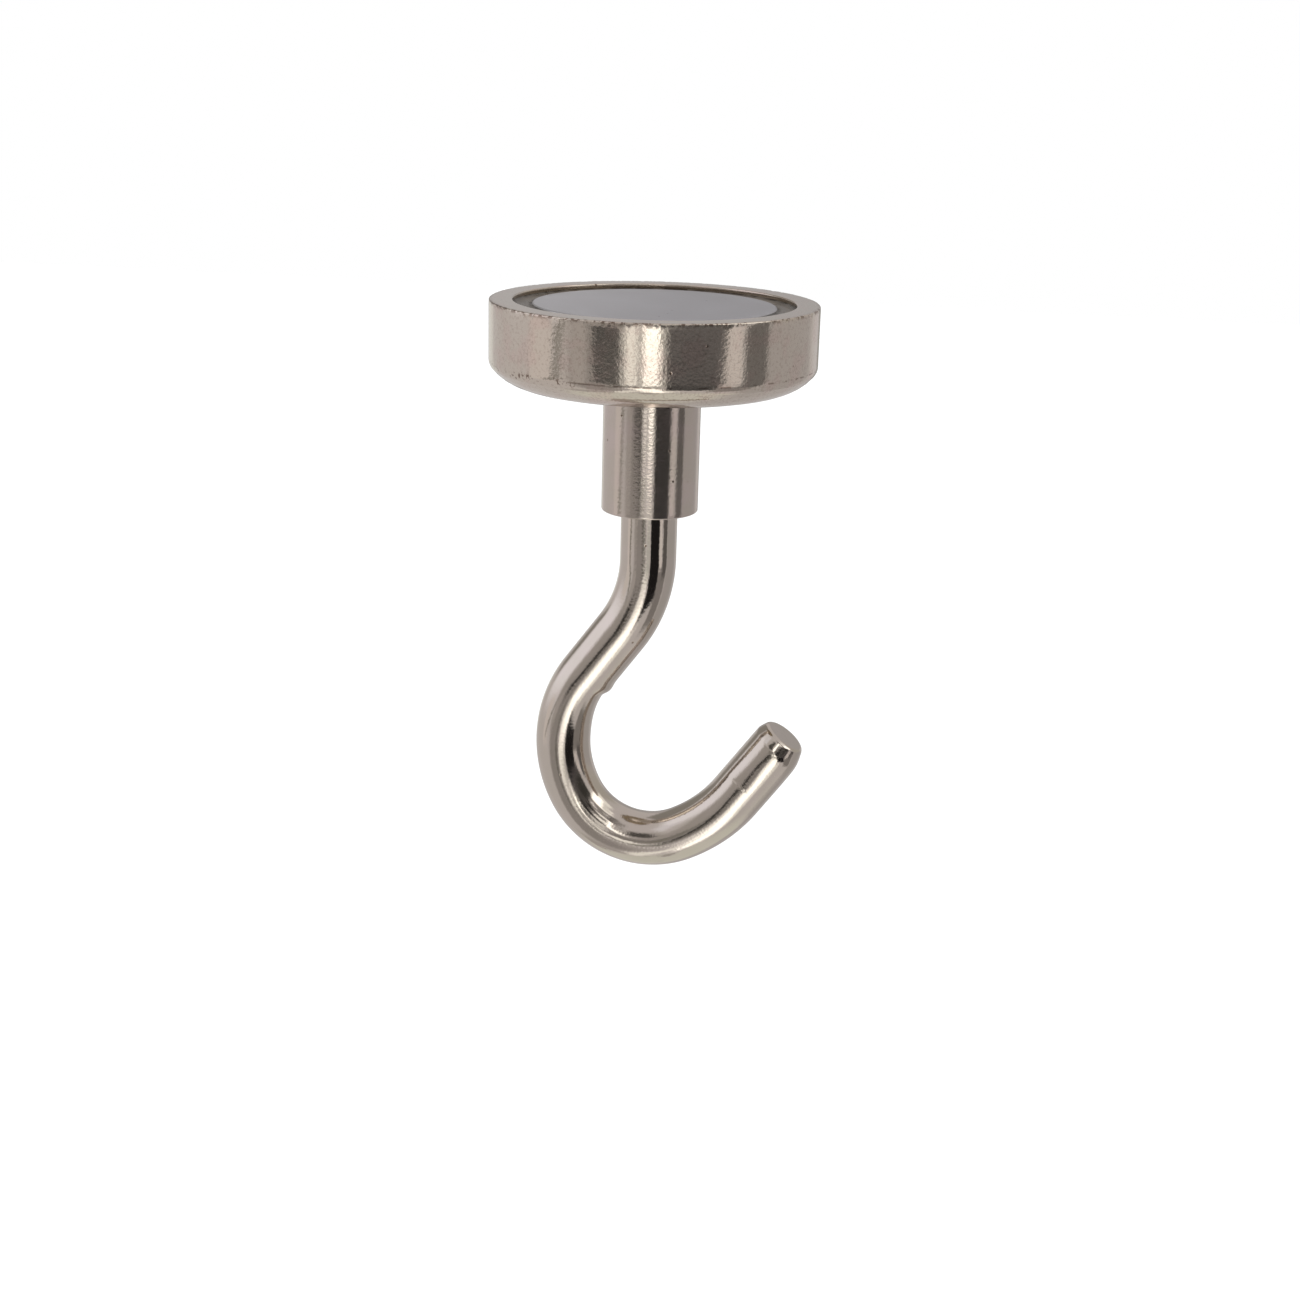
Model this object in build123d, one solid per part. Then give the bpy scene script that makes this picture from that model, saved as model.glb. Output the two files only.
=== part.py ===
"""Magnetic hook: a pot magnet, a threaded stem staked into its cup, and a bent wire hook.

Millimetres. The origin is the centre of the face that grips the steel, level with the cup's rim.
+Z points out of that face, the hook hangs towards -Z in the XZ plane, and its mouth opens to +X.
"""
from build123d import *
import math
import os

quarter_turn = 90.0

# Driving dimensions
cup_diameter = 25.0
magnet_thickness = 4.0
stem_diameter = 7.5
stem_length = 9.7
wire_diameter = 4.4
thread_diameter = 5.0

# Cup: a pressed steel pot
rim_width = 1.8
floor_thickness = 2.05
knuckle_radius = 0.7
knuckle_angle = 40.0
heel_radius = 3.7

# Magnet, and the resin that bonds it into the pocket
magnet_recess = 0.25
magnet_bevel = 0.15
resin_ring_width = 1.45
resin_recess = 0.45
bond_thickness = 0.1

# Stem: a turned bush, with a spigot that is staked into the cup's floor and a blind threaded bore
spigot_diameter = 4.6
stake_diameter = 6.2
stake_depth = 0.9
stem_edge_bevel = 0.12
bore_clearance = 0.05
bore_mouth_bevel = 0.4
bore_top_wall = 0.4
drill_tip_angle = 118.0

# Threaded end of the wire, drawn plain at the thread's outer diameter
thread_lead_bevel = 0.5
thread_runout = 0.5
thread_end_gap = 0.4
thread_setback = 0.6

# Bent wire, from the stem down: shank, shoulder bend, neck, the bowl's three arcs, and the tip
shank_length = 3.9
shoulder_radius = 10.5
shoulder_angle = 36.0
neck_length = 4.7
bowl_back_radius = 9.6
bowl_back_angle = 64.0
bowl_bottom_radius = 6.6
bowl_bottom_angle = 88.0
bowl_front_radius = 12.0
bowl_front_angle = 28.0
tip_length = 6.6
tip_bevel_depth = 0.45
tip_bevel_length = 1.3
tip_edge_bevel = 0.15

# Levels, counted down from the rim
magnet_top = -magnet_recess
magnet_bottom = magnet_top - magnet_thickness
floor_top = magnet_bottom - bond_thickness
cup_bottom = floor_top - floor_thickness
stem_bottom = cup_bottom - stem_length
wire_top = stem_bottom + thread_setback

# Radii that several pieces share
cup_radius = cup_diameter / 2
pocket_radius = cup_radius - rim_width
magnet_radius = pocket_radius - resin_ring_width
wire_radius = wire_diameter / 2
thread_radius = thread_diameter / 2
bore_radius = thread_radius + bore_clearance

# Blind bore: its full width ends where the drill's cone leaves the wall above it
drill_tip_height = bore_radius / math.tan(math.radians(drill_tip_angle / 2))
bore_top = cup_bottom - bore_top_wall - drill_tip_height
thread_top = bore_top - thread_end_gap


def turned(outline):
    """A solid of revolution about Z from (radius, height) points of one half section."""
    section = Plane.XZ * make_face(Polyline(*outline, close=True))
    return revolve(section, Axis.Z)


def disc(radius, top, bottom):
    """An upright cylinder between two levels."""
    return Pos(0, 0, top) * Cylinder(radius, top - bottom, align=(Align.CENTER, Align.CENTER, Align.MAX))


def pocket(top):
    """The room inside the cup, from its floor up to the given level."""
    return disc(pocket_radius, top, floor_top)


def staked_hole():
    """The hole through the cup's floor, with the countersink that the staked spigot fills."""
    spigot_radius = spigot_diameter / 2
    return turned([
        (0, floor_top),
        (stake_diameter / 2, floor_top),
        (spigot_radius, floor_top - stake_depth),
        (spigot_radius, cup_bottom),
        (0, cup_bottom),
    ])


def make_cup():
    """The pressed pot. Below its straight wall a tight knuckle and a broad heel lead to the flat floor.

    The rim is ground flat, so its two edges stay sharp.
    """
    knuckle_height = knuckle_radius * math.sin(math.radians(knuckle_angle))
    heel_height = heel_radius * (1 - math.sin(math.radians(knuckle_angle)))
    wall = Line((cup_radius, 0), (cup_radius, cup_bottom + heel_height + knuckle_height))
    knuckle = JernArc(wall @ 1, wall % 1, knuckle_radius, -knuckle_angle)
    heel = JernArc(knuckle @ 1, knuckle % 1, heel_radius, knuckle_angle - quarter_turn)
    floor = Line(heel @ 1, (0, cup_bottom))
    axis_and_top = Polyline(floor @ 1, (0, 0), wall @ 0)
    half_section = Plane.XZ * make_face([wall, knuckle, heel, floor, axis_and_top])
    return revolve(half_section, Axis.Z) - pocket(0) - staked_hole()


def make_magnet():
    """The disc, with the edge of its gripping face broken."""
    magnet = disc(magnet_radius, magnet_top, magnet_bottom)
    return chamfer(magnet.edges().sort_by(Axis.Z)[-1], magnet_bevel)


def make_resin_fill():
    """One pour of resin: the film under the magnet and the ring around it."""
    return pocket(-resin_recess) - make_magnet()


def make_stem():
    spigot = staked_hole()
    barrel = disc(stem_diameter / 2, cup_bottom, stem_bottom)
    barrel = chamfer(barrel.edges().sort_by(Axis.Z)[0], stem_edge_bevel)
    bore = turned([
        (0, bore_top + drill_tip_height),
        (bore_radius, bore_top),
        (bore_radius, stem_bottom + bore_mouth_bevel),
        (bore_radius + bore_mouth_bevel, stem_bottom),
        (0, stem_bottom),
    ])
    return barrel + spigot - bore


def make_hook_thread():
    """The threaded end of the wire, from its bevelled end down to the thread's run-out."""
    return turned([
        (0, thread_top),
        (thread_radius - thread_lead_bevel, thread_top),
        (thread_radius, thread_top - thread_lead_bevel),
        (thread_radius, wire_top + thread_runout),
        (wire_radius, wire_top),
        (0, wire_top),
    ])


def hook_centreline():
    """The wire's centreline: every bend is tangent to the straight or the arc before it."""
    shank = Line((0, wire_top), (0, stem_bottom - shank_length))
    shoulder = JernArc(shank @ 1, shank % 1, shoulder_radius, -shoulder_angle)
    neck = PolarLine(shoulder @ 1, neck_length, direction=shoulder % 1)
    stretches = [shank, shoulder, neck]
    bowl_arcs = (
        (bowl_back_radius, bowl_back_angle),
        (bowl_bottom_radius, bowl_bottom_angle),
        (bowl_front_radius, bowl_front_angle),
    )
    for radius, angle in bowl_arcs:
        last = stretches[-1]
        stretches.append(JernArc(last @ 1, last % 1, radius, angle))
    last = stretches[-1]
    stretches.append(PolarLine(last @ 1, tip_length, direction=last % 1))
    return Plane.XZ * Curve(children=stretches)


def make_hook():
    """The bent wire, swept along its centreline, with a long bevel and a broken edge at the tip."""
    path = Wire(hook_centreline().edges())
    section = Plane(origin=path @ 0, z_dir=path % 0) * Circle(wire_radius)
    hook = sweep(section, path=path)
    tip_face = hook.faces().sort_by_distance(path @ 1)[0]
    hook = chamfer(tip_face.edges(), tip_bevel_depth, tip_bevel_length, reference=tip_face)
    tip_face = hook.faces().sort_by_distance(path @ 1)[0]
    return chamfer(tip_face.edges(), tip_edge_bevel)


pieces = {
    "cup": make_cup(),
    "magnet": make_magnet(),
    "resin_fill": make_resin_fill(),
    "stem": make_stem(),
    "hook_thread": make_hook_thread(),
    "hook": make_hook(),
}

os.makedirs("parts", exist_ok=True)
for name, piece in pieces.items():
    export_step(piece, f"parts/{name}.step")
    print(f"{name}: {piece.volume:.1f} mm3")
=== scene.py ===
"""The magnetic hook as it looks: worn nickel plate, a satin magnet in grey resin, and a plain studio.

Millimetres throughout: meshes and the camera are turned into metres where they are made.
"""
import math

import bmesh
import bpy
import numpy as np
from mathutils import Matrix, Vector


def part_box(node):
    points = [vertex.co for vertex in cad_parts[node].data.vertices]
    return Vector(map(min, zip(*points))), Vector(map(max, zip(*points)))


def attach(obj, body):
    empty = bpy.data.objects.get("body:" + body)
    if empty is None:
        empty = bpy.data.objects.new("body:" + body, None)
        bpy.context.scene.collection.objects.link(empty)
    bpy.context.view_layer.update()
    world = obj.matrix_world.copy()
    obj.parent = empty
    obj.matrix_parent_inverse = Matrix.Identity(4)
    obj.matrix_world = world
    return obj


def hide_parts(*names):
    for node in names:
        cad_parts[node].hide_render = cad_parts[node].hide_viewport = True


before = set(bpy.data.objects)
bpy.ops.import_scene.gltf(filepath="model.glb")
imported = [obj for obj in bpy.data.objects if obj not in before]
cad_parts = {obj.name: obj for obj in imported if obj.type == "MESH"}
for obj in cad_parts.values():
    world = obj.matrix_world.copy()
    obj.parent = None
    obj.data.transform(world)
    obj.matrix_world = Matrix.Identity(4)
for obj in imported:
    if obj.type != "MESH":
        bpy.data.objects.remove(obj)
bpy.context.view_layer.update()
metres_per_mm = 0.001


def extent(node):
    """A node's radius, lowest level and highest level, in mm."""
    low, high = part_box(node)
    return high.y / metres_per_mm, low.z / metres_per_mm, high.z / metres_per_mm


# Sizes that the frame gives
cup_radius, cup_bottom, rim_level = extent("cup")
magnet_radius, magnet_bottom, magnet_top = extent("magnet")
pocket_radius, floor_top, resin_top = extent("resin_fill")
stem_radius, stem_bottom, stake_top = extent("stem")
thread_radius, wire_top, thread_top = extent("hook_thread")
wire_radius = extent("hook")[0]

# Camera
camera_distance = 150.0
camera_side = 0.34
camera_height = 18.94
view_turn = 10.0
view_tilt = 17.227
view_roll = 1.541
focal_length = 54.70
sensor_width = 36.0
near_clip = 1.0

# Floor
floor_drop = 250.0
floor_size = 4000.0
floor_glow = 0.25

# Cup
knuckle_radius = 0.9
knuckle_angle = 40.0
heel_radius = 3.7
rim_outer_rounding = 0.1
rim_inner_rounding = 0.12
burr_height = 0.02
burr_reach = 0.25
burr_finest_wave = 170
burr_wave_count = 60

# Wear of the cup, and painted shade on it. The knuckle is worn where X is small, and painted shade
# lies along the crease where X is large. The start and end of the painted shade on the pocket's wall
# count outward from that wall.
rim_wear_reach = 0.35
rim_face_depth = 0.05
knuckle_level = -4.6
knuckle_wear_core = 0.1
knuckle_wear_reach = 0.35
knuckle_wear_full = -5.0
knuckle_wear_end = -2.0
# Level, reach and sideways extent of the painted shade line along the crease
crease_level = -4.52
crease_reach = 0.1
crease_start = -6.0
crease_full = -3.0
# Where the painted shade on the pocket's wall starts and ends
wall_shade_start = 0.02
wall_shade_end = 0.1

# Magnet and resin
magnet_rounding = 0.15
meniscus_width = 0.3
meniscus_rise = 0.12
# Reach of the painted shade in the resin's corners
corner_shade_reach = 0.4
# Where the magnet's painted light is fullest and where it ends
magnet_side_light_place = -10.0
magnet_side_light_end = 4.0

# Stem
spigot_radius = 2.3
stake_radius = 3.1
stake_depth = 0.9
stem_edge_rounding = 0.12
stem_flare = 0.25
bore_radius = 2.55
bore_mouth = 0.4
bore_top = -8.33
drill_tip_height = 1.53

# Hook thread
thread_pitch = 0.8
thread_depth = 0.49
thread_flank_slope = 1.3
thread_crest_share = 0.15
thread_lead = 0.5
thread_runout = 0.5

# The bent wire: shank, shoulder bend, neck, the bowl's three arcs, and the tip
shank_length = 3.9
shoulder_radius = 10.5
shoulder_angle = 36.0
neck_length = 4.7
bowl_back_radius = 9.6
bowl_back_angle = 64.0
bowl_bottom_radius = 6.6
bowl_bottom_angle = 88.0
bowl_front_radius = 12.0
bowl_front_angle = 28.0
tip_length = 6.6
tip_bevel_depth = 0.45
tip_bevel_length = 1.05
tip_bevel_crispness = 0.12
tip_bevel_softness = 0.5
tip_depth_skew_share = 0.3
tip_length_skew_share = 0.2
tip_rounding = 0.25
tip_face_ring_share = 0.1

# Marks on the wire, each at its distance along the wire from the stem's end of it
nick_place = 16.0
nick_depth = 0.18
nick_length = 5.5
nick_half_angle = 60.0
nick_burr_height = 0.1
nick_burr_half_length = 0.5
press_start = 25.5
press_end = 31.7
press_depth = 0.03
press_ridge_height = 0.007
press_ridge_angle = 12.0
press_angle = 300.0
press_half_angle = 38.0
press_fade = 1.6
dent_place = 44.0
dent_depth = 0.06
dent_step = 0.2
dent_length = 3.0
dent_angle = 290.0
dent_half_angle = 38.0

# Relief of the finishes, and their pits
cup_skin_depth = 0.0065
cup_swell_depth = 0.007
cup_edge_depth = 0.01
cup_pit_spacing = 1.1
cup_pit_size = 0.13
cup_pit_depth = 0.012
stem_skin_depth = 0.005
stem_ring_depth = 0.0055
stem_pit_spacing = 1.0
stem_pit_size = 0.12
stem_pit_depth = 0.01
wire_skin_depth = 0.005
wire_line_depth = 0.0028
wire_pit_spacing = 1.2
wire_pit_size = 0.11
wire_pit_depth = 0.008
magnet_skin_depth = 0.002
magnet_pit_spacing = 1.5
magnet_pit_size = 0.12
resin_wave_depth = 0.03
pit_core_share = 0.4

# Fineness of the meshes
cup_segments = 720
stem_segments = 240
wire_segments = 240
turned_step = 0.2
wire_step = 0.12
arc_step = 9.0
thread_steps_per_turn = 16
tip_arc_steps = 5
sharp_angle = 50.0


def surface(name, rings, joined=False, straight=None):
    """A mesh through rings of points in mm. Its last ring joins the first, or both ends close.

    The attribute "straight" holds each point as it lay before any bending, for grain that
    follows the metal.
    """
    rings = [np.asarray(ring, float) for ring in rings]
    straight = rings if straight is None else [np.asarray(ring, float) for ring in straight]
    count = len(rings[0])
    points = np.concatenate(rings)
    laid_out = np.concatenate(straight)
    faces = []
    for row in range(len(rings) if joined else len(rings) - 1):
        here = row * count
        there = (row + 1) % len(rings) * count
        for i in range(count):
            j = (i + 1) % count
            faces.append((here + i, here + j, there + j, there + i))
    if not joined:
        ends = (
            (rings[0], straight[0], 0),
            (rings[-1], straight[-1], len(points) - count),
        )
        for ring, flat, start in ends:
            middle = len(points)
            points = np.vstack([points, ring.mean(axis=0)])
            laid_out = np.vstack([laid_out, flat.mean(axis=0)])
            faces.extend((start + i, start + (i + 1) % count, middle) for i in range(count))
    mesh = bpy.data.meshes.new(name)
    mesh.from_pydata((points * metres_per_mm).tolist(), [], faces)
    attribute = mesh.attributes.new("straight", "FLOAT_VECTOR", "POINT")
    attribute.data.foreach_set("vector", laid_out.astype(np.float32).ravel())
    work = bmesh.new()
    work.from_mesh(mesh)
    bmesh.ops.recalc_face_normals(work, faces=work.faces)
    work.to_mesh(mesh)
    work.free()
    mesh.shade_smooth()
    mesh.set_sharp_from_angle(angle=math.radians(sharp_angle))
    piece = bpy.data.objects.new(name, mesh)
    bpy.context.scene.collection.objects.link(piece)
    return piece


def rounded(corners):
    """Points along a closed outline of (radius, level, rounding) corners.

    A corner with a rounding becomes an arc. Straights are divided, so that smooth shading stays
    in the arcs.
    """
    outline = []
    for i, (radius, level, rounding) in enumerate(corners):
        here = Vector((radius, level))
        if not rounding:
            outline.append(here)
            continue
        before = (Vector(corners[i - 1][:2]) - here).normalized()
        after = (Vector(corners[(i + 1) % len(corners)][:2]) - here).normalized()
        turn = math.pi - before.angle(after)
        reach = rounding * math.tan(turn / 2)
        centre = here + (before + after).normalized() * rounding / math.cos(turn / 2)
        start = here + before * reach
        end = here + after * reach
        steps = max(2, round(math.degrees(turn) / arc_step))
        for k in range(steps + 1):
            share = k / steps
            from_start = (start - centre) * math.sin((1 - share) * turn)
            from_end = (end - centre) * math.sin(share * turn)
            outline.append(centre + (from_start + from_end) / math.sin(turn))
    divided = []
    for here, there in zip(outline, outline[1:] + outline[:1]):
        pieces = max(1, math.ceil((there - here).length / turned_step))
        divided.extend(here.lerp(there, k / pieces) for k in range(pieces))
    return divided


def full_turn(segments):
    """Evenly spaced angles round a circle."""
    return np.linspace(0, 2 * math.pi, segments, endpoint=False)


def circle(radius, level, angles):
    """A level ring of points round the Z axis."""
    across = radius * np.cos(angles)
    deep = radius * np.sin(angles)
    return np.stack([across, deep, np.full(len(angles), level)], axis=1)


def turned_rings(outline, segments):
    """The outline's points, each turned round the Z axis into a ring."""
    angles = full_turn(segments)
    return [circle(radius, level, angles) for radius, level in outline]


def turned(name, corners, segments):
    """A turned piece. An outline that starts and ends on the axis closes there."""
    on_axis = corners[0][0] == 0
    outline = [point for point in rounded(corners) if point.x > 0]
    return surface(name, turned_rings(outline, segments), joined=not on_axis)


def wobble(angles, finest, strength, seed):
    """An uneven wave round a circle: sines of random phase, of up to the given number of waves."""
    random = np.random.default_rng(seed)
    total = np.zeros(len(angles))
    counts = random.integers(2, finest, burr_wave_count)
    for count, phase in zip(counts, random.uniform(0, 2 * math.pi, len(counts))):
        total += np.sin(count * angles + phase)
    return strength * total / math.sqrt(len(counts))


def make_cup():
    """The pressed pot: a knuckle and a heel below its wall, and a burr along the rim's outer edge."""
    knuckle_height = knuckle_radius * math.sin(math.radians(knuckle_angle))
    heel_height = heel_radius * (1 - math.sin(math.radians(knuckle_angle)))
    knuckle_reach = knuckle_radius * math.tan(math.radians(knuckle_angle / 2))
    wall_end = cup_bottom + heel_height + knuckle_height
    knuckle_corner = wall_end - knuckle_reach
    heel_corner = cup_radius - (knuckle_corner - cup_bottom) * math.tan(math.radians(knuckle_angle))
    outline = rounded([
        (spigot_radius, cup_bottom, 0),
        (heel_corner, cup_bottom, heel_radius),
        (cup_radius, knuckle_corner, knuckle_radius),
        (cup_radius, rim_level, rim_outer_rounding),
        (pocket_radius, rim_level, rim_inner_rounding),
        (pocket_radius, floor_top, 0),
        (stake_radius, floor_top, 0),
        (spigot_radius, floor_top - stake_depth, 0),
    ])
    rings = turned_rings(outline, cup_segments)
    burr = wobble(full_turn(cup_segments), burr_finest_wave, burr_height, seed=3)
    edge = Vector((cup_radius, rim_level))
    for point, ring in zip(outline, rings):
        share = max(0, 1 - (point - edge).length / burr_reach)
        outward = 1 + share * (burr - burr_height) / cup_radius
        ring[:, :2] *= outward[:, None]
        ring[:, 2] -= share * np.abs(burr)
    return surface("cup_shell", rings, joined=True)


def make_magnet():
    return turned("magnet_disc", [
        (0, magnet_bottom, 0),
        (magnet_radius, magnet_bottom, 0),
        (magnet_radius, magnet_top, magnet_rounding),
        (0, magnet_top, 0),
    ], cup_segments)


def make_resin():
    """The pour of resin. Its top creeps up the pot's wall and the magnet's side."""
    return turned("resin_ring", [
        (0, floor_top, 0),
        (pocket_radius, floor_top, 0),
        (pocket_radius, resin_top + meniscus_rise, 0),
        (pocket_radius - meniscus_width, resin_top, meniscus_width),
        (magnet_radius + meniscus_width, resin_top, meniscus_width),
        (magnet_radius, resin_top + meniscus_rise, 0),
        (magnet_radius, magnet_bottom, 0),
        (0, magnet_bottom, 0),
    ], cup_segments)


def make_stem():
    """The turned bush. A small flare meets the cup's floor."""
    return turned("stem_bush", [
        (0, stake_top, 0),
        (stake_radius, stake_top, 0),
        (spigot_radius, stake_top - stake_depth, 0),
        (spigot_radius, cup_bottom, 0),
        (stem_radius + stem_flare, cup_bottom, 0),
        (stem_radius, cup_bottom, stem_flare),
        (stem_radius, stem_bottom, stem_edge_rounding),
        (bore_radius + bore_mouth, stem_bottom, 0),
        (bore_radius, stem_bottom + bore_mouth, 0),
        (bore_radius, bore_top, 0),
        (0, bore_top + drill_tip_height, 0),
    ], stem_segments)


def make_thread():
    """The wire's threaded end: one ridge that climbs with the turn, run in at both ends."""
    angles = full_turn(wire_segments)
    rings = []
    for level in np.arange(wire_top, thread_top, thread_pitch / thread_steps_per_turn):
        place = (level / thread_pitch - angles / (2 * math.pi)) % 1
        sunk_share = np.clip(np.abs(place * 2 - 1) * thread_flank_slope - thread_crest_share, 0, 1)
        ridge = thread_radius - thread_depth * sunk_share
        lead = thread_radius - max(0, thread_lead - (thread_top - level))
        runout = np.interp(level - wire_top, (0, thread_runout), (wire_radius, thread_radius))
        rings.append(circle(np.minimum(ridge, min(lead, runout)), level, angles))
    return surface("wire_thread", rings)


def after(place, heading, along, bend):
    """Where a stretch of steady bend has come to, and its heading there."""
    if not bend:
        return place[0] + along * math.cos(heading), place[1] + along * math.sin(heading), heading
    new = heading + along * bend
    x = place[0] + (math.sin(new) - math.sin(heading)) / bend
    z = place[1] - (math.cos(new) - math.cos(heading)) / bend
    return x, z, new


def wire_line():
    """The wire's centreline in the XZ plane: points with heading and distance, wire_step apart."""
    lengths_and_bends = [
        (wire_top - stem_bottom + shank_length, 0.0),
        (math.radians(shoulder_angle) * shoulder_radius, -1 / shoulder_radius),
        (neck_length, 0.0),
        (math.radians(bowl_back_angle) * bowl_back_radius, 1 / bowl_back_radius),
        (math.radians(bowl_bottom_angle) * bowl_bottom_radius, 1 / bowl_bottom_radius),
        (math.radians(bowl_front_angle) * bowl_front_radius, 1 / bowl_front_radius),
        (tip_length - tip_rounding, 0.0),
    ]
    place = (0.0, wire_top)
    heading = -math.pi / 2
    travelled = 0.0
    line = []
    for length, bend in lengths_and_bends:
        steps = math.ceil(length / wire_step)
        for k in range(steps):
            along = length * k / steps
            line.append((*after(place, heading, along, bend), travelled + along))
        x, z, heading = after(place, heading, length, bend)
        place = (x, z)
        travelled += length
    line.append((*place, heading, travelled))
    return line


def tip_bevel(left, angles):
    """How far the tip's bevel lies inside the round wire.

    It is deeper, longer and softer on the bowl's outer side. The value left is the length that
    is left to the wire's end.
    """
    depth = tip_bevel_depth * (1 - tip_depth_skew_share * np.cos(angles))
    length = tip_bevel_length * (1 - tip_length_skew_share * np.cos(angles))
    outer = ((1 - np.cos(angles)) / 2) ** 3
    softness = tip_bevel_crispness + (tip_bevel_softness - tip_bevel_crispness) * outer
    reach = 1 - left / length
    return depth * (reach + np.sqrt(reach ** 2 + softness ** 2)) / 2


def eased(value, start, end):
    """0 up to start, 1 from end on, with an eased change between them."""
    share = np.clip((value - start) / (end - start), 0, 1)
    return share * share * (3 - 2 * share)


def around(angles, middle, half_width):
    """1 at the middle angle, falling to 0 at half_width to each side. Degrees."""
    off = (np.degrees(angles) - middle + 180) % 360 - 180
    return eased(half_width - np.abs(off), 0, half_width)


def tool_marks(travelled, angles):
    """How far the marks of the bending tools lift or lower the wire's surface."""
    past_nick = travelled - nick_place
    from_burr = (past_nick + nick_burr_half_length) / nick_burr_half_length
    burr = nick_burr_height * math.exp(-from_burr ** 2)
    cut = nick_depth * eased(past_nick, -nick_burr_half_length, nick_burr_half_length)
    cut *= 1 - eased(past_nick, nick_burr_half_length, nick_length)
    marks = (burr - cut) * around(angles, 0, nick_half_angle)
    pressed = eased(travelled, press_start, (press_start + press_end) / 2)
    pressed *= eased(press_end - travelled, 0, press_fade)
    ridges = press_ridge_height * np.sin(np.degrees(angles) / press_ridge_angle * 2 * math.pi)
    marks += pressed * (ridges - press_depth) * around(angles, press_angle, press_half_angle)
    past_dent = travelled - dent_place
    dent = dent_depth * eased(past_dent, 0, dent_step) * (1 - eased(past_dent, dent_step, dent_length))
    return marks - dent * around(angles, dent_angle, dent_half_angle)


def make_hook():
    """The bent wire.

    Angle 0 of each ring is the bowl's inner side, and angle 270 faces the camera.
    """
    angles = full_turn(wire_segments)
    side = np.array([0.0, 1.0, 0.0])
    line = wire_line()
    x, z, heading, travelled = line[-1]
    whole = travelled + tip_rounding
    for k in range(1, tip_arc_steps + 1):
        along = tip_rounding * math.sin(math.pi / 2 * k / tip_arc_steps)
        place = (x + along * math.cos(heading), z + along * math.sin(heading))
        line.append((*place, heading, travelled + along))
    rings = []
    straight = []
    for x, z, heading, travelled in line:
        left = whole - travelled
        radius = wire_radius - tip_bevel(left, angles) + tool_marks(travelled, angles)
        if left < tip_rounding:
            radius -= tip_rounding - math.sqrt(tip_rounding ** 2 - (tip_rounding - left) ** 2)
        inward = np.array([-math.sin(heading), 0.0, math.cos(heading)])
        centre = np.array([x, 0.0, z])
        across = radius * np.cos(angles)
        deep = radius * np.sin(angles)
        rings.append(centre + np.outer(across, inward) + np.outer(deep, side))
        straight.append(np.stack([across, deep, np.full(wire_segments, travelled)], axis=1))
    end = rings[-1]
    rings.append(end + (end.mean(axis=0) - end) * tip_face_ring_share)
    kept_share = 1 - tip_face_ring_share
    straight.append(straight[-1] * np.array([kept_share, kept_share, 1.0]))
    return surface("bent_wire", rings, straight=straight)


class Nodes:
    """Short ways to add nodes to one tree.

    A socket given as a value is linked, anything else is set.
    """

    def __init__(self, tree):
        self.tree = tree

    def add(self, kind, inputs, output=0, **settings):
        node = self.tree.nodes.new("ShaderNode" + kind)
        for name, value in settings.items():
            setattr(node, name, value)
        for socket, value in inputs.items():
            self.join(value, node.inputs[socket])
        return node.outputs[output]

    def join(self, value, socket):
        if isinstance(value, bpy.types.NodeSocket):
            self.tree.links.new(value, socket)
        else:
            socket.default_value = value

    def math(self, operation, *values):
        return self.add("Math", dict(enumerate(values)), operation=operation)

    def smooth(self, value, start, end, low=0.0, high=1.0):
        """Low before start, high after end, with an eased change between them."""
        limits = {"Value": value, "From Min": start, "From Max": end, "To Min": low, "To Max": high}
        return self.add("MapRange", limits, interpolation_type="SMOOTHSTEP")

    def mix(self, share, before, after):
        return self.add("Mix", {0: share, 6: before, 7: after}, output=2, data_type="RGBA")

    def stretch(self, vector, x, y, z):
        return self.add("VectorMath", {0: vector, 1: (x, y, z)}, operation="MULTIPLY")

    def part(self, vector, axis):
        """The x, y or z of a vector, for axis 0, 1 or 2."""
        return self.add("SeparateXYZ", {0: vector}, output=axis)

    def radius(self, place):
        """The distance from the Z axis."""
        flat = self.stretch(place, 1, 1, 0)
        return self.add("VectorMath", {0: flat}, output="Value", operation="LENGTH")

    def dot(self, vector, along):
        return self.add("VectorMath", {0: vector, 1: along}, output="Value", operation="DOT_PRODUCT")

    def off(self, value, middle):
        """How far a value lies from the middle, to either side."""
        return self.math("ABSOLUTE", self.math("SUBTRACT", value, middle))

    def noise(self, vector, scale, detail=2.0):
        return self.add("TexNoise", {"Vector": vector, "Scale": scale, "Detail": detail})

    def bump(self, height, depth, normal=None):
        """Relief with the given depth in mm between the heights 0 and 1."""
        inputs = {"Height": height, "Distance": depth * metres_per_mm, "Strength": 1.0}
        if normal:
            inputs["Normal"] = normal
        return self.add("Bump", inputs)


def new_material(name):
    material = bpy.data.materials.new(name)
    material.use_nodes = True
    nodes = Nodes(material.node_tree)
    place = nodes.add("Attribute", {}, output="Vector", attribute_name="straight")
    return material, nodes, place, material.node_tree.nodes["Principled BSDF"]


def pits(nodes, place, spacing, size, share):
    """1 in small round pits, 0 elsewhere. The given share of cells, each a spacing wide, has one."""
    cells = {"Vector": place, "Scale": 1 / spacing}
    distance = nodes.add("TexVoronoi", cells, output="Distance")
    chance = nodes.add("SeparateColor", {0: nodes.add("TexVoronoi", cells, output="Color")})
    reach = size / spacing
    inside = nodes.smooth(distance, reach * pit_core_share, reach, 1.0, 0.0)
    return nodes.math("MULTIPLY", inside, nodes.math("LESS_THAN", chance, share))


def stains(nodes, place, scale, rarity):
    """1 in scattered ragged specks, 0 elsewhere. A higher rarity leaves fewer of them."""
    grains = nodes.noise(place, scale, detail=3.0)
    patches = nodes.noise(place, scale / 7, detail=1.0)
    height = nodes.math("ADD", grains, nodes.math("MULTIPLY", patches, 0.5))
    return nodes.smooth(height, rarity, rarity + 0.06)


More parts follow.
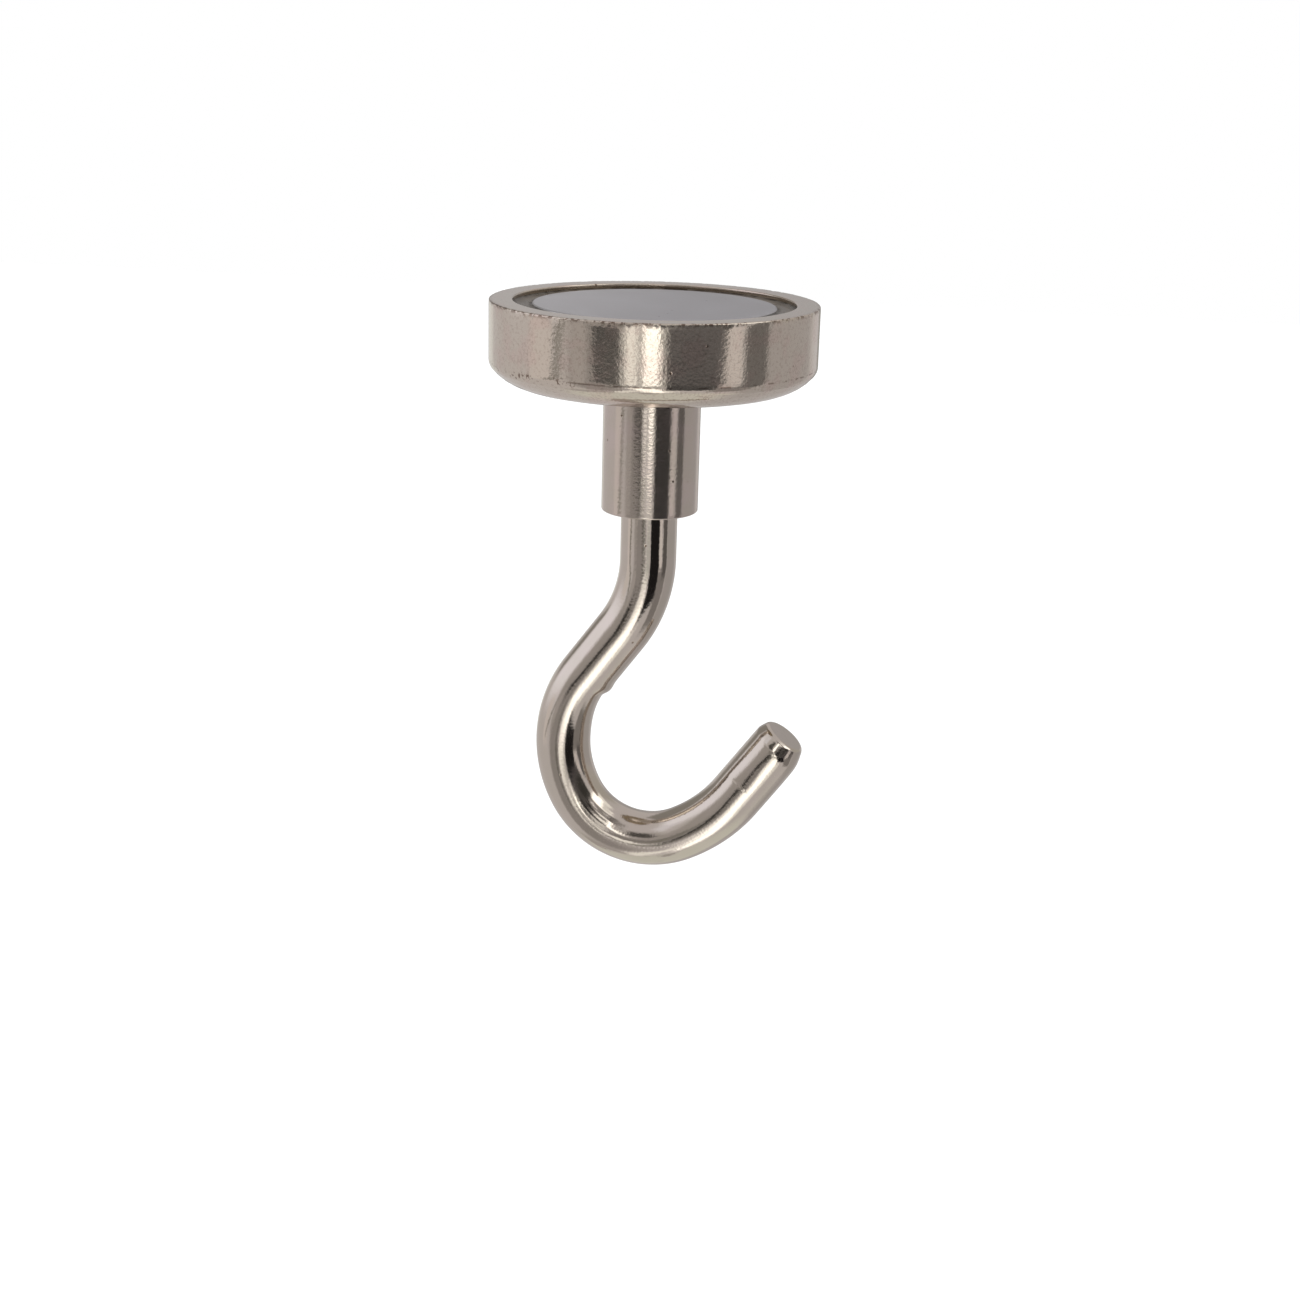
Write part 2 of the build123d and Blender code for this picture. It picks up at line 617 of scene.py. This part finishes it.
def cup_stains_and_shade(nodes, place, edge):
    """1 where the plate is stained, at the rim's edge and at one side of the knuckle, and where shade
    is painted along the crease.
    """
    level = nodes.part(place, 2)
    sideways = nodes.part(place, 0)
    corner = nodes.off(level, knuckle_level)
    corner = nodes.smooth(corner, knuckle_wear_core, knuckle_wear_reach, 1.0, 0.0)
    one_side = nodes.smooth(sideways, knuckle_wear_full, knuckle_wear_end, 1.0, 0.0)
    corner = nodes.math("MULTIPLY", corner, one_side)
    # Painted shade: a broken dark line along the crease, on the side where X is large
    crease_shade = nodes.smooth(nodes.off(level, crease_level), 0.0, crease_reach, 0.8, 0.0)
    broken = nodes.smooth(nodes.noise(place, 1.6, detail=3.0), 0.45, 0.58)
    crease_shade = nodes.math("MULTIPLY", crease_shade, broken)
    crease_shade = nodes.math("MULTIPLY", crease_shade, nodes.smooth(sideways, crease_start, crease_full))
    on_edge = nodes.math("MULTIPLY", edge, stains(nodes, place, 3.5, 0.74))
    on_corner = nodes.math("MULTIPLY", corner, stains(nodes, place, 4.5, 0.84))
    return nodes.math("MAXIMUM", crease_shade, nodes.math("MAXIMUM", on_edge, on_corner))


def cup_plate(nodes, place, clouds, below_face):
    """The plate's colour: nickel with warm blooms, which the rim's face lacks, and a darker grain."""
    warm_share = nodes.smooth(clouds, 0.48, 0.62)
    plate = nodes.mix(warm_share, (0.60, 0.53, 0.465, 1), (0.61, 0.51, 0.455, 1))
    fine = nodes.smooth(nodes.noise(place, 6.0, detail=2.0), 0.5, 0.7, 0.0, 0.6)
    fine = nodes.math("MULTIPLY", fine, below_face)
    blooms = nodes.math("MULTIPLY", fine, nodes.smooth(clouds, 0.45, 0.6))
    grain = nodes.smooth(nodes.noise(place, 4.5, detail=3.0), 0.5, 0.7, 0.0, 0.45)
    return nodes.mix(nodes.math("MAXIMUM", blooms, grain), plate, (0.40, 0.33, 0.28, 1))


def cup_nickel():
    """Bright plate over a pressed pot: orange-peel skin, stained edges, and painted shade on the
    pocket's wall.
    """
    material, nodes, place, shader = new_material("cup_nickel")
    skin = nodes.noise(place, 5.0, detail=2.0)
    swell = nodes.noise(place, 0.8, detail=1.0)
    clouds = nodes.noise(place, 0.5, detail=4.0)
    radius = nodes.radius(place)
    below = nodes.math("SUBTRACT", rim_level, nodes.part(place, 2))
    below_face = nodes.smooth(below, rim_face_depth, 4 * rim_face_depth)
    inside = nodes.math("SUBTRACT", cup_radius, radius)
    edge = nodes.smooth(nodes.math("MAXIMUM", below, inside), 0.0, rim_wear_reach, 1.0, 0.0)
    # Painted shade: the pocket's wall below the rim's face is darkened, as if in the recess's shade
    past_pocket = nodes.math("SUBTRACT", radius, pocket_radius)
    pocket_wall_shade = nodes.smooth(past_pocket, wall_shade_start, wall_shade_end, 1.0, 0.0)
    pocket_wall_shade = nodes.math("MULTIPLY", pocket_wall_shade, below_face)
    holes = pits(nodes, place, cup_pit_spacing, cup_pit_size, 0.4)
    # Pits and stains, with the painted shade along the crease, darken the plate
    marks = nodes.math("MAXIMUM", holes, cup_stains_and_shade(nodes, place, edge))
    stains_and_shade = nodes.mix(marks, cup_plate(nodes, place, clouds, below_face), (0.2, 0.14, 0.11, 1))
    nodes.join(nodes.mix(pocket_wall_shade, stains_and_shade, (0.34, 0.27, 0.20, 1)), shader.inputs["Base Color"])
    shader.inputs["Metallic"].default_value = 0.9
    rough = nodes.smooth(clouds, 0.35, 0.7, 0.06, 0.11)
    nodes.join(nodes.math("ADD", rough, nodes.math("MULTIPLY", edge, 0.1)), shader.inputs["Roughness"])
    relief = nodes.bump(skin, cup_skin_depth)
    relief = nodes.bump(swell, cup_swell_depth, relief)
    relief = nodes.bump(nodes.math("MULTIPLY", skin, edge), cup_edge_depth, relief)
    nodes.join(nodes.bump(holes, -cup_pit_depth, relief), shader.inputs["Normal"])
    return material


def stem_nickel():
    """Bright plate over a turned bush: fine rings from the lathe, and a painted shadow line at its seat
    under the cup.
    """
    material, nodes, place, shader = new_material("stem_nickel")
    rings = nodes.noise(nodes.stretch(place, 0.5, 0.5, 1), 5.5, detail=2.0)
    skin = nodes.noise(place, 5.5, detail=2.0)
    clouds = nodes.noise(place, 0.5, detail=2.0)
    plate = nodes.mix(nodes.smooth(clouds, 0.35, 0.7), (0.575, 0.51, 0.455, 1), (0.60, 0.515, 0.48, 1))
    holes = pits(nodes, place, stem_pit_spacing, stem_pit_size, 0.35)
    # Painted shadow: a dark line where the bush meets the cup's floor
    seat_shadow = nodes.smooth(nodes.part(place, 2), cup_bottom - 2 * stem_flare, cup_bottom - stem_flare)
    seat_shadow = nodes.math("MULTIPLY", seat_shadow, nodes.smooth(nodes.noise(place, 1.2), 0.4, 0.6, 0.75, 1.0))
    pitted = nodes.mix(holes, plate, (0.2, 0.14, 0.1, 1))
    nodes.join(nodes.mix(seat_shadow, pitted, (0.1, 0.07, 0.05, 1)), shader.inputs["Base Color"])
    shader.inputs["Metallic"].default_value = 0.95
    nodes.join(nodes.smooth(clouds, 0.3, 0.7, 0.09, 0.14), shader.inputs["Roughness"])
    relief = nodes.bump(skin, stem_skin_depth)
    relief = nodes.bump(rings, stem_ring_depth, relief)
    nodes.join(nodes.bump(holes, -stem_pit_depth, relief), shader.inputs["Normal"])
    return material


def wire_nickel():
    """Bright plate over drawn wire: lines along it, a few pits, and a satin look where it was bent."""
    material, nodes, place, shader = new_material("wire_nickel")
    lines = nodes.noise(nodes.stretch(place, 1, 1, 0.12), 4.5, detail=1.0)
    skin = nodes.noise(place, 5.0, detail=2.0)
    clouds = nodes.noise(place, 0.5, detail=2.0)
    plate = nodes.mix(nodes.smooth(clouds, 0.35, 0.7), (0.60, 0.54, 0.48, 1), (0.62, 0.55, 0.50, 1))
    holes = pits(nodes, place, wire_pit_spacing, wire_pit_size, 0.25)
    nodes.join(nodes.mix(holes, plate, (0.28, 0.2, 0.15, 1)), shader.inputs["Base Color"])
    shader.inputs["Metallic"].default_value = 1.0
    rough = nodes.smooth(clouds, 0.3, 0.7, 0.045, 0.075)
    satin = nodes.smooth(nodes.part(place, 2), shank_length, 3 * shank_length, 0.0, 0.05)
    nodes.join(nodes.math("ADD", rough, satin), shader.inputs["Roughness"])
    relief = nodes.bump(skin, wire_skin_depth)
    relief = nodes.bump(lines, wire_line_depth, relief)
    nodes.join(nodes.bump(holes, -wire_pit_depth, relief), shader.inputs["Normal"])
    return material


def magnet_plate():
    """Satin plate over a ground magnet, with a few small pits, and painted light that makes it lighter
    towards -X.
    """
    material, nodes, place, shader = new_material("magnet_plate")
    clouds = nodes.noise(place, 0.3, detail=3.0)
    skin = nodes.noise(place, 7.0, detail=3.0)
    # Painted light: the plate is lighter on its -X side, with random tone added to it
    side_light = nodes.smooth(nodes.part(place, 0), magnet_side_light_place, magnet_side_light_end, 0.7, 0.0)
    tone_and_side_light = nodes.math("ADD", nodes.smooth(clouds, 0.3, 0.7, 0.0, 0.3), side_light)
    plate = nodes.mix(tone_and_side_light, (0.45, 0.445, 0.475, 1), (0.62, 0.615, 0.645, 1))
    holes = pits(nodes, place, magnet_pit_spacing, magnet_pit_size, 0.3)
    nodes.join(nodes.mix(holes, plate, (0.2, 0.17, 0.2, 1)), shader.inputs["Base Color"])
    shader.inputs["Metallic"].default_value = 1.0
    nodes.join(nodes.smooth(clouds, 0.3, 0.7, 0.32, 0.42), shader.inputs["Roughness"])
    nodes.join(nodes.bump(skin, magnet_skin_depth), shader.inputs["Normal"])
    return material


def cast_resin():
    """Grey epoxy, glossy and faintly wavy, with painted shade beside the wall and the magnet, where it
    is also less glossy.
    """
    material, nodes, place, shader = new_material("cast_resin")
    clouds = nodes.noise(place, 0.8, detail=3.0)
    colour = nodes.mix(nodes.smooth(clouds, 0.3, 0.7), (0.07, 0.058, 0.048, 1), (0.13, 0.11, 0.092, 1))
    # Painted shade: the resin is darkened, and made less glossy, in its corners by the pocket's wall
    # and the magnet
    radius = nodes.radius(place)
    by_wall = nodes.smooth(radius, pocket_radius - corner_shade_reach, pocket_radius)
    by_magnet = nodes.smooth(radius, magnet_radius, magnet_radius + corner_shade_reach, 1.0, 0.0)
    patches = nodes.smooth(nodes.noise(place, 1.3, detail=3.0), 0.35, 0.6, 0.35, 1.0)
    corner_shade = nodes.math("MULTIPLY", nodes.math("MAXIMUM", by_wall, by_magnet), patches)
    colour = nodes.mix(corner_shade, colour, (0.02, 0.014, 0.01, 1))
    nodes.join(nodes.smooth(corner_shade, 0.0, 1.0, 0.5, 0.1), shader.inputs["Specular IOR Level"])
    nodes.join(colour, shader.inputs["Base Color"])
    nodes.join(nodes.smooth(clouds, 0.3, 0.7, 0.25, 0.4), shader.inputs["Roughness"])
    waves = nodes.noise(place, 2.0, detail=2.0)
    nodes.join(nodes.bump(waves, resin_wave_depth), shader.inputs["Normal"])
    return material


# What the metal mirrors, as seen from the object, in degrees. Azimuth 0 is towards the camera and +90
# to the picture's right, and elevation counts up from level. A panel's slant moves it sideways for
# each degree up. Later panels lie over earlier ones.
warm = (1.05, 1.0, 0.97)
cool = (1.0, 1.0, 1.06)
cream = (1.0, 1.0, 0.95)
olive = (1.03, 1.0, 0.92)
sand = (0.98, 1.0, 0.91)
plum = (1.08, 1.0, 1.02)
room_colour = (1.03, 1.0, 0.99)
room_level = 0.63
panels = (
    # azimuth, elevation, half width, half height, softness, slant, colour, level
    (0, -78, 180, 20, 14, 0, sand, 0.78),
    (150, -40, 26, 24, 12, 0, room_colour, 0.53),
    (178, 10, 26, 14, 12, 0, room_colour, 0.48),
    (171, 9, 7, 10, 8, 0, room_colour, 0.42),
    (148, 12, 10, 8, 6, 0, room_colour, 0.46),
    (114, 14, 28, 20, 14, 0, olive, 0.5),
    (110, -30, 28, 26, 10, 0, room_colour, 0.45),
    (-92, 25, 26, 27, 20, 0, cool, 1.06),
    (-84, -10, 10, 9, 5, 0, warm, 0.74),
    (-157, -11, 9, 7, 4, 0, cream, 0.8),
    (-177, -11, 6, 7, 4, 0, warm, 0.22),
    (165, -11, 6, 7, 4, 0, olive, 0.32),
    (-143, 33, 21, 28, 8, 0, olive, 0.3),
    (-22, 28, 15, 11, 12, 0, warm, 0.42),
    (-66, -61, 40, 5, 8, 0, warm, 0.46),
    (-40, 8, 24, 13, 10, 0, warm, 0.43),
    (-40, -28, 19, 26, 13, 0, warm, 0.34),
    (-72, -10.5, 3, 6, 3, 1.8, olive, 0.28),
    (-52, -9, 5, 5, 3, 0, warm, 0.46),
    (-26, 3, 10, 6, 6, 0, olive, 0.26),
    (-32.5, -8.2, 9.5, 2.6, 2, -1.2, olive, 0.02),
    (-28, -21, 4, 4, 4, 0, olive, 0.2),
    (-22, -12.5, 6.5, 3, 2, -2.5, olive, 0.13),
    (-14, 3, 6, 7, 6, 0, warm, 0.28),
    (-57, 43, 13, 9, 10, 0, cool, 0.88),
    (-20, 29, 10, 9, 4, 0, olive, 0.09),
    (12, -43, 8, 8, 8, 0, cream, 1.1),
    (-8, -21, 10, 5, 4, 0, cream, 1.2),
    (-1, -38, 9.5, 16, 8, -0.25, cream, 2.2),
    (-24, -52, 7, 13, 7, 1.0, cream, 1.15),
    (-7, -66, 7, 6, 5, 0, warm, 0.42),
    (12, 10, 14, 12, 8, 0, warm, 0.22),
    (14, 4, 10, 9, 6, 0, warm, 0.06),
    (20, 6, 8, 5, 4, 0, olive, 0.025),
    (40, 4, 19, 14, 6, 0.3, warm, 0.1),
    (43, 5, 13.5, 8, 5, 0.4, olive, 0.05),
    (28, -8, 20, 2.5, 1.5, 0, plum, 0.09),
    (27.5, -20, 18.5, 10.4, 2, 0, plum, 0.015),
    (62, -30, 17, 15, 8, 0, warm, 0.26),
    (74.7, -9, 9.7, 12, 3, 0.45, warm, 0.13),
    (55.7, -10, 5.8, 7, 2.5, 0.65, warm, 0.76),
    (54, -11.2, 8, 0.9, 1, 0, warm, 0.5),
    (16, 46, 13, 9, 8, 0, warm, 0.3),
    (23, 43, 6, 5, 6, 0, warm, 0.16),
    (3, 28, 5, 9, 5, 0, warm, 0.28),
    (32, 27, 7, 12, 6, 0, warm, 0.3),
    (19, 28, 8, 8, 8, 0, cream, 1.4),
    (64, 43, 22, 7, 8, 0, cream, 0.95),
    (47, 46, 8, 9, 6, 0, cream, 1.25),
    (90, 38, 9, 14, 8, 0, cream, 1.15),
    (65.5, 28, 20, 10, 6, 0, cream, 2.2),
    (1.5, 24, 4.5, 11.5, 3, 0.8, cream, 2.4),
    (-3, 0, 4, 8, 6, 0, cream, 0.9),
    (-6.5, -9, 15.5, 4, 3, 0, cream, 0.62),
    (-14.6, -7.5, 4, 3.8, 3, 0, cream, 1.35),
    (-1, -8.5, 5.4, 4, 3, 0, cream, 2.4),
    (0, -14, 6, 3, 4, 0, cream, 0.6),
)


def panel_colour(colour, level):
    return (*(level * part for part in colour), 1.0)


def in_panel(nodes, azimuth, elevation, middle, level, half_width, half_height, softness, slant):
    """1 inside a panel and 0 outside it, with a soft edge."""
    above = nodes.math("SUBTRACT", elevation, float(level))
    aside = nodes.math("SUBTRACT", azimuth, float(middle))
    if slant:
        aside = nodes.math("SUBTRACT", aside, nodes.math("MULTIPLY", above, float(slant)))
    aside = nodes.math("ABSOLUTE", nodes.math("WRAP", aside, -180.0, 180.0))
    above = nodes.math("ABSOLUTE", above)
    half_soft = softness / 2
    within_width = nodes.smooth(aside, half_width - half_soft, half_width + half_soft, 1.0, 0.0)
    within_height = nodes.smooth(above, half_height - half_soft, half_height + half_soft, 1.0, 0.0)
    return nodes.math("MULTIPLY", within_width, within_height)


def make_studio():
    """A white room. Mirror-like rays see a grey one instead, with light and dark panels."""
    world = bpy.data.worlds.new("studio")
    world.use_nodes = True
    world.cycles.sampling_method = "NONE"
    bpy.context.scene.world = world
    nodes = Nodes(world.node_tree)
    background = world.node_tree.nodes["Background"]
    direction = nodes.add("TexCoord", {}, output="Generated")
    turn = math.radians(view_turn)
    to_camera = (math.sin(turn), -math.cos(turn), 0)
    to_right = (math.cos(turn), math.sin(turn), 0)
    forward = nodes.dot(direction, to_camera)
    sideways = nodes.dot(direction, to_right)
    azimuth = nodes.math("DEGREES", nodes.math("ARCTAN2", sideways, forward))
    elevation = nodes.math("DEGREES", nodes.math("ARCSINE", nodes.part(direction, 2)))
    colour = panel_colour(room_colour, room_level)
    for *place_and_size, tint, strength in panels:
        inside = in_panel(nodes, azimuth, elevation, *place_and_size)
        colour = nodes.mix(inside, colour, panel_colour(tint, strength))
    mirrored = nodes.add("LightPath", {}, output="Is Glossy Ray")
    nodes.join(nodes.mix(mirrored, (1, 1, 1, 1), colour), background.inputs["Color"])


def make_floor():
    """A pale floor well below the hook. The camera sees it white where no shadow falls."""
    mesh = bpy.data.meshes.new("floor")
    half = floor_size / 2
    corners = [(-half, -half), (half, -half), (half, half), (-half, half)]
    points = [Vector((x, y, -floor_drop)) * metres_per_mm for x, y in corners]
    mesh.from_pydata(points, [], [(0, 1, 2, 3)])
    floor = bpy.data.objects.new("floor", mesh)
    bpy.context.scene.collection.objects.link(floor)
    floor.visible_glossy = False
    material = bpy.data.materials.new("floor_paint")
    material.use_nodes = True
    nodes = Nodes(material.node_tree)
    shader = material.node_tree.nodes["Principled BSDF"]
    shader.inputs["Base Color"].default_value = (0.9, 0.9, 0.9, 1)
    shader.inputs["Roughness"].default_value = 0.9
    shader.inputs["Emission Color"].default_value = (1, 1, 1, 1)
    seen = nodes.add("LightPath", {}, output="Is Camera Ray")
    nodes.join(nodes.math("MULTIPLY", seen, floor_glow), shader.inputs["Emission Strength"])
    mesh.materials.append(material)


def make_camera():
    """The photograph's view: from a little above the rim, tilted down and rolled slightly."""
    turn = math.radians(view_turn)
    place = Vector((
        camera_side * math.cos(turn) + camera_distance * math.sin(turn),
        camera_side * math.sin(turn) - camera_distance * math.cos(turn),
        camera_height,
    ))
    aim = (
        Matrix.Rotation(turn, 4, "Z")
        @ Matrix.Rotation(math.pi / 2 - math.radians(view_tilt), 4, "X")
        @ Matrix.Rotation(math.radians(view_roll), 4, "Z")
    )
    data = bpy.data.cameras.new("camera")
    data.lens = focal_length
    data.sensor_width = sensor_width
    data.clip_start = near_clip * metres_per_mm
    camera = bpy.data.objects.new("camera", data)
    camera.matrix_world = Matrix.Translation(place * metres_per_mm) @ aim
    bpy.context.scene.collection.objects.link(camera)
    bpy.context.scene.camera = camera


make_camera()
make_studio()
make_floor()
wire_material = wire_nickel()

for piece, body, node, slot, material in (
    (make_cup(), "base", "cup", "cup_nickel", cup_nickel()),
    (make_magnet(), "base", "magnet", "magnet_face", magnet_plate()),
    (make_resin(), "base", "resin_fill", "resin", cast_resin()),
    (make_stem(), "base", "stem", "stem_nickel", stem_nickel()),
    (make_thread(), "screw", "hook_thread", "wire_nickel", wire_material),
    (make_hook(), "hook", "hook", "wire_nickel", wire_material),
):
    piece.data.materials.append(material)
    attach(piece, body)
    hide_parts(node)

bpy.context.scene.view_settings.view_transform = "Standard"
